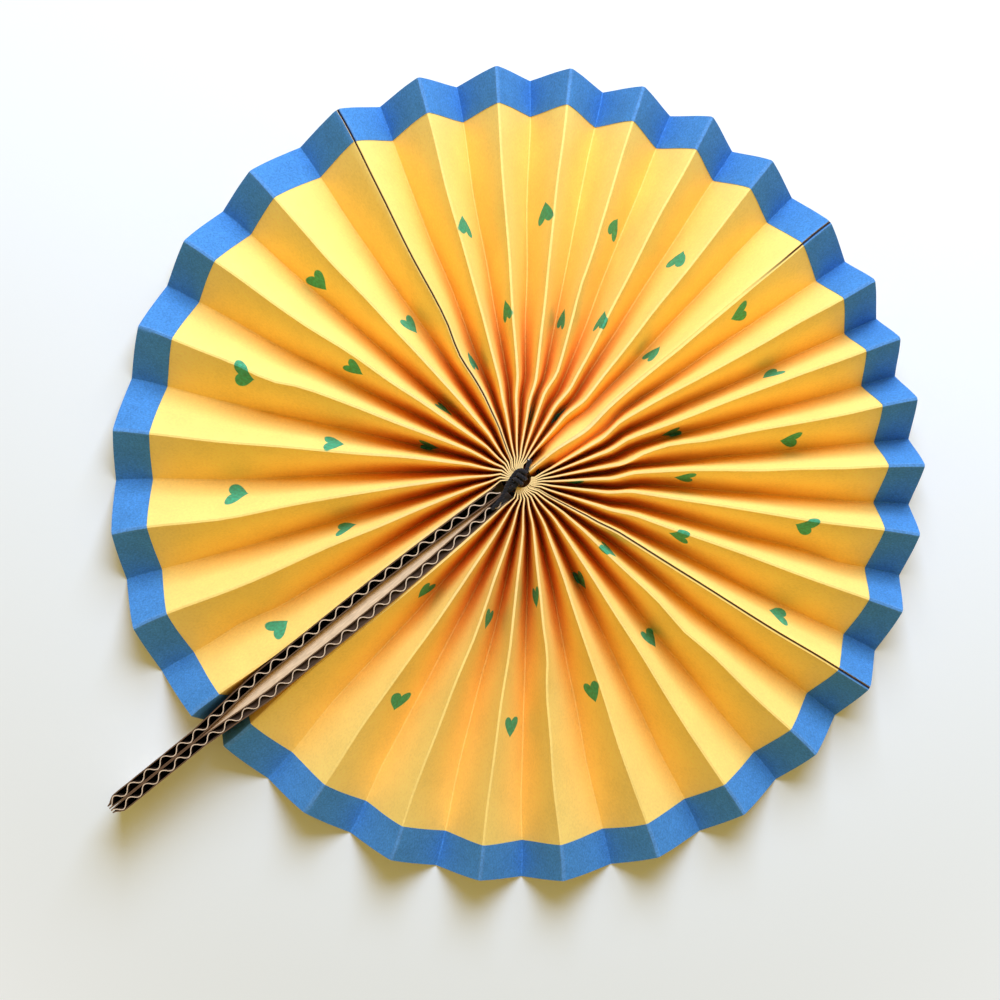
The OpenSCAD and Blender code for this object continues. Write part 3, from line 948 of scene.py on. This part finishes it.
class PAPERFAN_OT_handle(bpy.types.Operator):
    """Build the two strips of corrugated board from liners and wave sheets"""
    bl_idname = "paperfan.handle"
    bl_label = "Handle strips"

    def execute(self, context):
        scene = context.scene
        plan, handle = FoldPlan(scene), scene.paper_fan_handle
        tip = -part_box("handle_strip_right")[0].y / MM
        flutes = round((tip - plan.strip_end) / (handle.flute_pitch / MM))
        # A liner has a plain outer face, painted shade of the flutes on its back and a dark pressed edge;
        # the wave sheet's faces carry the same painted shade, and its cut edge is pale.
        flute_painted_shade = kraft_paper("kraft_flute_side", handle.flute_painted_shade)
        liner_set = (kraft_paper("kraft_liner", handle.kraft), flute_painted_shade,
                     kraft_paper("kraft_liner_cut", handle.liner_cut))
        wave_set = (flute_painted_shade, kraft_paper("kraft_wave_cut", handle.wave_cut))
        for side, name in ((1, "right"), (-1, "left")):
            draw = random.Random(STRIP_SEED + side)
            crush = [draw.uniform(LEAST_FLUTE, 1.0) for _ in range(flutes + 2)]
            slip = [draw.uniform(-FLUTE_SLIP, FLUTE_SLIP) for _ in range(flutes + 2)]
            layers = []
            for part in ("inner_liner", "wave", "outer_liner"):
                is_wave = part == "wave"
                steps = flutes * (WAVE_STEPS if is_wave else LINER_STEPS)
                piece, cells = new_grid(f"board_{part}_{name}", steps + 1, len(STRIP_ROWS))
                for v, (c, i) in zip(piece.data.vertices, cells):
                    d = mix(plan.strip_end, tip, c / steps)
                    off = self.offset(handle, part, (d - plan.strip_end) / (handle.flute_pitch / MM),
                                      crush, slip)
                    # Scissors crushed the cut end of the handle.
                    off = mix(off, CUT_SIDE * plan.board, CUT_CRUSH * grow(d, tip - CUT_END, CUT_END))
                    v.co = self.place(plan, side, d, i, off, side * 3.0 + len(part))
                for material in wave_set if is_wave else liner_set:
                    piece.data.materials.append(material)
                # A liner turns its back to the flutes.
                if (side > 0) == (part != "inner_liner"):
                    turn_over()
                if is_wave:
                    thicken(piece, handle.medium, edge_slot=1)
                else:
                    thicken(piece, handle.liner, back_slot=1, edge_slot=2)
                layers.append(piece)
            strip = join_pieces(layers, layers[1], f"board_strip_{name}")
            finish_piece(strip, "corrugated_board", f"handle_strip_{name}")
        return {"FINISHED"}

    @staticmethod
    def offset(handle, part, turn, crush, slip):
        """How far a layer stands from the middle of the board, in mm, at a count of flutes."""
        board, liner, medium = (x / MM for x in (handle.board_thickness, handle.liner, handle.medium))
        if part == "wave":
            n = int(turn)
            swing = -math.cos(2 * math.pi * turn + mix(slip[n], slip[n + 1], turn - n))
            # Flanks run straight and crests are tight, as rolled board has them.
            swing = math.copysign(abs(swing) ** CREST_POWER, swing)
            return (board / 2 - liner - medium / 2) * swing * mix(crush[n], crush[n + 1], turn - n)
        off = (board - liner) / 2 * (1 if part == "outer_liner" else -1)
        # The liner shows the flutes as a faint washboard.
        return off - math.copysign(WASHBOARD, off) * (1 - math.cos(2 * math.pi * turn)) / 2

    @staticmethod
    def place(plan, side, d, i, off, layer):
        """A point of a layer at a distance from the hub and a row of the strip, in metres."""
        gap = plan.half_gap(d)
        if side > 0:
            # The right strip rests on the left one and leans away from it at the front.
            gap = mix(AIR - gap, gap, grow(STRIP_ROWS[i], LEAN_ROW, LEAN_OVER))
        fray = abs(FRAY * waver(d * 1.3, layer, 0.4))
        z = STRIP_ROWS[i] * plan.width
        if i == 0:
            z += fray
        elif i == len(STRIP_ROWS) - 1:
            z -= fray
        return Vector((side * (gap + plan.board / 2 + off), -d, z)) * MM


def cord_route(plan, size):
    """Points of the cord in mm, from its short end over the hub, down beside the strips, round
    through the panels, up again and through the knot to its tail."""
    mid = plan.paper / 2 + plan.width / 2
    top = plan.width + plan.paper + size / 2 + 0.05
    leg_x, leg_y = 0.56 * size, -plan.hub - 1
    begin = plan.end_angle(plan.cord_r) + math.radians(2) - math.pi / 2
    ring = []
    for i in range(COIL_STEPS + 1):
        a = mix(begin, math.pi - begin, i / COIL_STEPS)
        ring.append((plan.cord_r * math.cos(a), plan.cord_r * math.sin(a), mid))
    right = [(leg_x, leg_y, mid), (leg_x, leg_y, top - 3), (leg_x, leg_y + 1.2, top - 0.3),
             (0.5, -1.8, top + 0.5), (0.1, 0.0, top + 0.6), (-0.4, 1.7, top + 0.6),
             (-1.2, 3.1, top + 0.3), (-2.2, 4.6, top)]
    left = [(-leg_x, leg_y, mid), (-leg_x, leg_y, top - 3), (-leg_x, leg_y + 1.2, top - 0.4)]
    # The left end is wound round the right one and tucked back beside the strips.
    for i in range(COIL_STEPS + 1):
        turn = -0.5 * math.pi + 2 * math.pi * KNOT_TURNS * i / COIL_STEPS
        left.append((mix(0.4, -0.5, i / COIL_STEPS) - KNOT_RADIUS * math.cos(turn),
                     mix(-1.9, 1.6, i / COIL_STEPS), top + 0.6 + KNOT_RADIUS * math.sin(turn)))
    left += [(-1.9, 0.6, top + 0.5), (-1.7, -1.4, top + 0.3), (-0.9, -3.6, top + 0.2),
             (0.3, -6.0, top + 0.1), (1.1, -8.4, top), (1.5, -11.0, top)]
    return [Vector(p) for p in (*reversed(right), *ring, *left)]


def smooth_route(points, per_span):
    """Samples a smooth curve through the points of a route."""
    out = []
    ends = [points[0] * 2 - points[1], *points, points[-1] * 2 - points[-2]]
    for a, b, c, d in zip(ends, ends[1:], ends[2:], ends[3:]):
        for i in range(per_span):
            t = i / per_span
            out.append(0.5 * (2 * b + (c - a) * t + (2 * a - 5 * b + 4 * c - d) * t * t
                              + (3 * b - a - 3 * c + d) * t ** 3))
    out.append(points[-1])
    return out


class PAPERFAN_OT_cord(bpy.types.Operator):
    """Thread the black cord through the panels and knot it over the hub"""
    bl_idname = "paperfan.cord"
    bl_label = "Tie cord"

    def execute(self, context):
        scene = context.scene
        plan, cord = FoldPlan(scene), scene.paper_fan_cord
        path = smooth_route(cord_route(plan, cord.diameter / MM), ROUTE_STEPS)
        turns = []
        gone = 0.0
        for a, b in zip(path, path[1:] + path[-1:]):
            turns.append(2 * math.pi * gone / (cord.lay / MM))
            gone += (b - a).length
        strands = [self.strand(path, [t + s * 2 * math.pi / STRANDS for t in turns], cord)
                   for s in range(STRANDS)]
        piece = join_pieces(strands, strands[0], "laid_cord")
        piece.data.materials.clear()
        piece.data.materials.append(cotton_cord("dyed_black_cotton", cord.dye))
        piece.data.materials.append(cotton_cord("undyed_cotton_core", cord.core))
        # The core shows on the cut faces at the short end.
        tip = path[0] * MM
        out = (path[0] - path[2]).normalized()
        for face in piece.data.polygons:
            is_near = (face.center - tip).length < CORE_REACH * cord.diameter
            face.material_index = int(is_near and face.normal.dot(out) > CORE_FACING)
        finish_piece(piece, "black_cord", "tie_cord")
        return {"FINISHED"}

    @staticmethod
    def strand(path, turns, cord):
        """Lays one strand round the middle line of the cord."""
        deselect_all()
        bpy.ops.curve.primitive_nurbs_path_add()
        strand = bpy.context.object
        spline = strand.data.splines[0]
        spline.type = "POLY"
        spline.points.add(len(path) - len(spline.points))
        for i, p in enumerate(path):
            ahead = path[min(i + 1, len(path) - 1)] - path[max(i - 1, 0)]
            # Any direction does that the cord never follows.
            across = ahead.cross(Vector((0.31, 0.17, 0.93))).normalized()
            over = ahead.cross(across).normalized()
            # The laid strands spring open where the short end was cut.
            spring = 1 + SPRING * max(0.0, 1 - i / SPRING_POINTS)
            off = (across * math.cos(turns[i]) + over * math.sin(turns[i])) * STRAND_OFF * spring
            spline.points[i].co = (*(p * MM + off * cord.diameter), 1.0)
        strand.data.dimensions = "3D"
        strand.data.bevel_depth = STRAND_RADIUS * cord.diameter
        strand.data.bevel_resolution = 2
        strand.data.use_fill_caps = True
        bpy.ops.object.convert(target="MESH")
        return bpy.context.object


class PAPERFAN_OT_stage(bpy.types.Operator):
    """Lay the pale floor and set the soft light and the camera above the fan"""
    bl_idname = "paperfan.stage"
    bl_label = "Stage"

    def execute(self, context):
        scene = context.scene
        self.lay_floor(scene.paper_fan_stage)
        self.light_room(scene)
        self.set_camera(scene, scene.paper_fan_stage)
        # Light goes on from panel to panel deep in the pleats, and reddens there.
        scene.cycles.diffuse_bounces = 8
        scene.view_settings.view_transform = "Standard"
        return {"FINISHED"}

    def lay_floor(self, stage):
        """Matte white board: an even pale face with hardly any shine."""
        deselect_all()
        bpy.ops.mesh.primitive_plane_add(size=FLOOR_SIZE)
        floor = bpy.context.object
        floor.name = "floor"
        material, tree, spot = blank_material("matte_white_board")
        grain = put(tree, "ShaderNodeTexNoise", {"Vector": spot, "Scale": 3.0, "Detail": 2.0})
        tone = put(tree, "ShaderNodeMapRange", {"Value": grain, "To Min": 0.97, "To Max": 1.0})
        shade = put(tree, "ShaderNodeMix", {"Factor": 1.0, "A": rgba(stage.floor), "B": tone},
                    data_type="RGBA", blend_type="MULTIPLY")
        board = put(tree, "ShaderNodeBsdfPrincipled", {"Base Color": shade.outputs["Result"],
                                                       "Roughness": 0.9, "Specular IOR Level": 0.1})
        # Away from the fan and its shadow the floor runs out into a plain white background.
        away = put(tree, "ShaderNodeVectorMath", {0: spot}, operation="LENGTH")
        fade = put(tree, "ShaderNodeMapRange", {"Value": away.outputs["Value"], "From Min": FADE_START,
                                                "From Max": FADE_END}, **SMOOTHED)
        seen = put(tree, "ShaderNodeMath", {0: fade, 1: self.seen_directly(tree)}, operation="MULTIPLY")
        white = put(tree, "ShaderNodeEmission", {"Strength": 1.0})
        both = put(tree, "ShaderNodeMixShader", {0: seen, 1: board, 2: white})
        put(tree, "ShaderNodeOutputMaterial", {"Surface": both})
        floor.data.materials.append(material)

    def light_room(self, scene):
        world = bpy.data.worlds.new("soft_room")
        world.use_nodes = True
        tree = world.node_tree
        tree.nodes.clear()
        # A dim warm room lights the object; the camera, and any mirror, sees plain white instead.
        room = put(tree, "ShaderNodeBackground", {"Color": rgba(ROOM_TINT), "Strength": ROOM_STRENGTH})
        plain = put(tree, "ShaderNodeBackground", {"Color": (1.0, 1.0, 1.0, 1.0), "Strength": 1.0})
        both = put(tree, "ShaderNodeMixShader", {0: self.seen_directly(tree), 1: room, 2: plain})
        put(tree, "ShaderNodeOutputWorld", {"Surface": both})
        scene.world = world

        light = bpy.data.lights.new("window", "AREA")
        light.size = WINDOW_SIZE
        light.energy = WINDOW_WATTS
        light.color = WINDOW_TINT
        window = bpy.data.objects.new("window", light)
        scene.collection.objects.link(window)
        way, rise = math.radians(WINDOW_WAY), math.radians(WINDOW_RISE)
        at = Vector((math.cos(way) * math.cos(rise), math.sin(way) * math.cos(rise), math.sin(rise)))
        window.location = at * WINDOW_DISTANCE
        window.rotation_euler = at.to_track_quat("Z", "Y").to_euler()

    @staticmethod
    def set_camera(scene, stage):
        camera = bpy.data.objects.new("camera", bpy.data.cameras.new("camera"))
        scene.collection.objects.link(camera)
        camera.location = (CAMERA_X * MM, CAMERA_Y * MM, stage.camera_height)
        camera.rotation_euler = (0.0, 0.0, stage.roll)
        camera.data.sensor_width = SENSOR
        camera.data.lens = stage.lens
        scene.camera = camera

    @staticmethod
    def seen_directly(tree):
        """1 for what the camera sees, also in a mirror or through glass."""
        path = put(tree, "ShaderNodeLightPath").outputs
        mirror = put(tree, "ShaderNodeMath", {0: path["Is Glossy Ray"], 1: path["Is Transmission Ray"]},
                     operation="MAXIMUM")
        return put(tree, "ShaderNodeMath", {0: path["Is Camera Ray"], 1: mirror}, operation="MAXIMUM")


class PAPERFAN_PT_panel(bpy.types.Panel):
    """Steps that make the fan, in order"""
    bl_idname = "PAPERFAN_PT_panel"
    bl_label = "Paper fan"
    bl_space_type = "VIEW_3D"
    bl_region_type = "UI"
    bl_category = "Paper fan"

    def draw(self, context):
        column = self.layout.column()
        for step in STEPS:
            column.operator(step.bl_idname)
        for name, kind in GROUPS:
            group = getattr(context.scene, name)
            for key in kind.__annotations__:
                column.prop(group, key)


STEPS = (
    PAPERFAN_OT_stage,
    PAPERFAN_OT_cord,
    PAPERFAN_OT_sheets,
    PAPERFAN_OT_borders,
    PAPERFAN_OT_handle,
)
GROUPS = (
    ("paper_fan_pleats", PaperFanPleats),
    ("paper_fan_handle", PaperFanHandle),
    ("paper_fan_cord", PaperFanCord),
    ("paper_fan_stage", PaperFanStage),
)


def register():
    for _, group in GROUPS:
        bpy.utils.register_class(group)
    for step in (*STEPS, PAPERFAN_PT_panel):
        bpy.utils.register_class(step)
    for name, group in GROUPS:
        setattr(bpy.types.Scene, name, PointerProperty(type=group))


def unregister():
    for name, _ in GROUPS:
        delattr(bpy.types.Scene, name)
    for step in (PAPERFAN_PT_panel, *reversed(STEPS)):
        bpy.utils.unregister_class(step)
    for _, group in reversed(GROUPS):
        bpy.utils.unregister_class(group)


def main():
    register()
    bpy.ops.paperfan.stage()
    bpy.ops.paperfan.cord()
    bpy.ops.paperfan.sheets()
    bpy.ops.paperfan.borders()
    bpy.ops.paperfan.handle()


if __name__ == "__main__":
    main()
